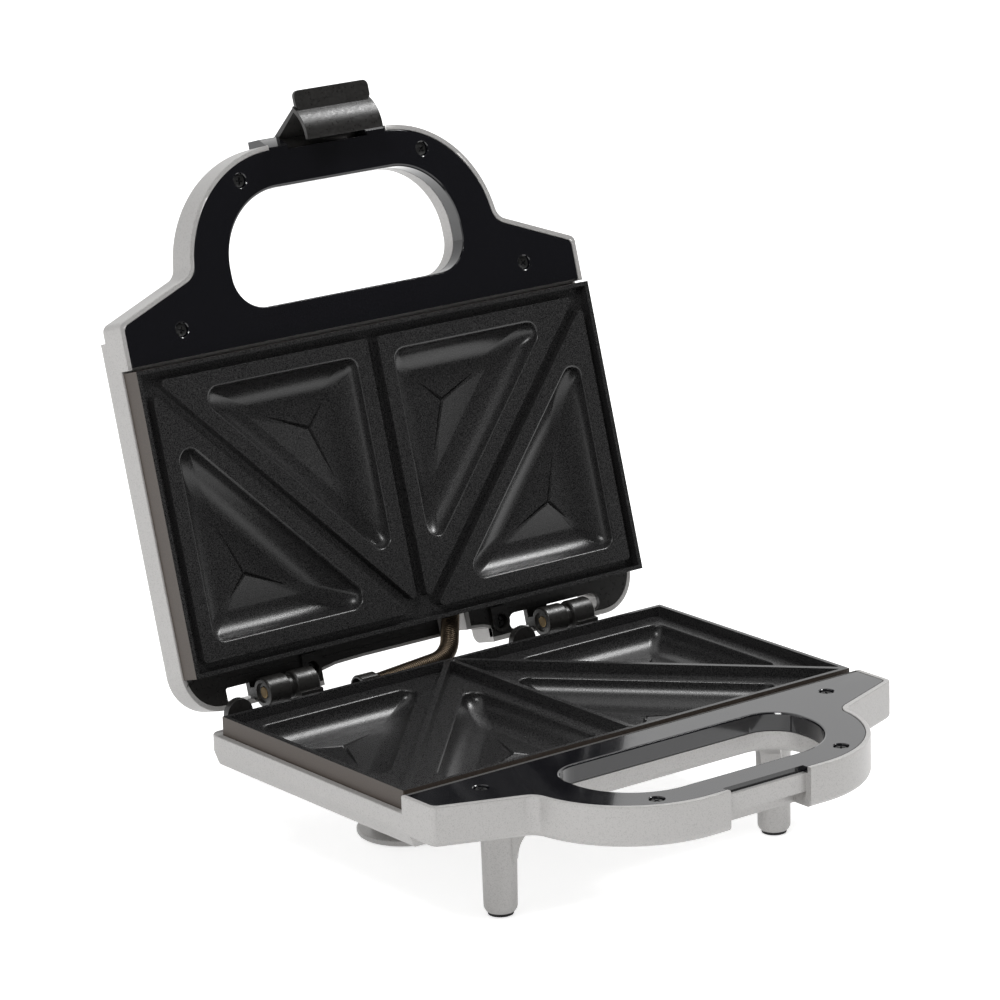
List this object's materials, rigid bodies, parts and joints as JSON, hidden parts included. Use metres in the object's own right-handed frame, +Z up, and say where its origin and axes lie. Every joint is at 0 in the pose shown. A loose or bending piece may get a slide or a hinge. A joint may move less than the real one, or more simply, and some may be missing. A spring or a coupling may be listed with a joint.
{
  "type": "sandwich toaster",
  "caption": "Open sandwich toaster with triangular non-stick pockets, silver housing, glossy black handle covers, hinged lid and swinging latch.",
  "frame": {"origin": "on the table, midway across the width and midway between the handle's front and the rearmost point of the open lid", "axes": "+Z up, +Y from the handle toward the hinge, +X to the right as seen from the handle"},
  "size_m": [0.226, 0.2835, 0.2828],
  "materials": {
    "silver_plastic": "satin, fine metallic grain",
    "black_plastic": "high gloss",
    "hinge_black": "semi-gloss",
    "nonstick": "cast metal under a speckled satin non-stick coating",
    "steel": "satin",
    "brass": "satin",
    "bronze_wire": "dark satin",
    "aluminium": "satin",
    "rubber": "matte",
    "ceramic": "matte",
    "lamp_red": "gloss",
    "lamp_green": "gloss",
    "wire_cover": "matte"
  },
  "bodies": {
    "base": {"base_housing": "silver_plastic", "base_handle_cover": "black_plastic", "base_plate": "nonstick", "base_heating_element": "steel", "base_heat_shield": "aluminium", "base_plate_screws": "steel", "base_cover_screws": "steel", "base_hinge_panel": "hinge_black", "base_hinge_bracket_left": "hinge_black", "base_hinge_bracket_right": "hinge_black", "hinge_pin_left": "brass", "hinge_pin_right": "brass", "foot_pad_front_left": "rubber", "foot_pad_front_right": "rubber", "foot_pad_rear_left": "rubber", "foot_pad_rear_right": "rubber", "cord_inlet": "hinge_black", "terminal_block": "ceramic", "sheath_clip": "hinge_black", "sheath_spring": "bronze_wire", "wire_bundle": "wire_cover"},
    "lid": {"lid_housing": "silver_plastic", "lid_handle_cover": "black_plastic", "lid_plate": "nonstick", "lid_heating_element": "steel", "lid_heat_shield": "aluminium", "lid_plate_screws": "steel", "lid_cover_screws": "steel", "lid_hinge_panel": "hinge_black", "lid_hinge_bracket_left": "hinge_black", "lid_hinge_bracket_right": "hinge_black", "lid_hinge_screws": "steel", "power_lamp_lens": "lamp_red", "ready_lamp_lens": "lamp_green", "thermostat": "steel", "latch_pin": "steel"},
    "latch": {"latch": "hinge_black"}
  },
  "joints": [
    {"name": "lid_hinge", "type": "hinge", "parent": "base", "child": "lid", "pos_m": [0, 0.06961, 0.058], "axis": [1, 0, 0], "range_deg": [0, 105.5], "deforming": ["sheath_spring", "wire_bundle"]},
    {"name": "latch_pivot", "type": "hinge", "parent": "lid", "child": "latch", "pos_m": [0, 0.13668, 0.25867], "axis": [1, 0, 0], "range_deg": [-60, 14]}
  ]
}
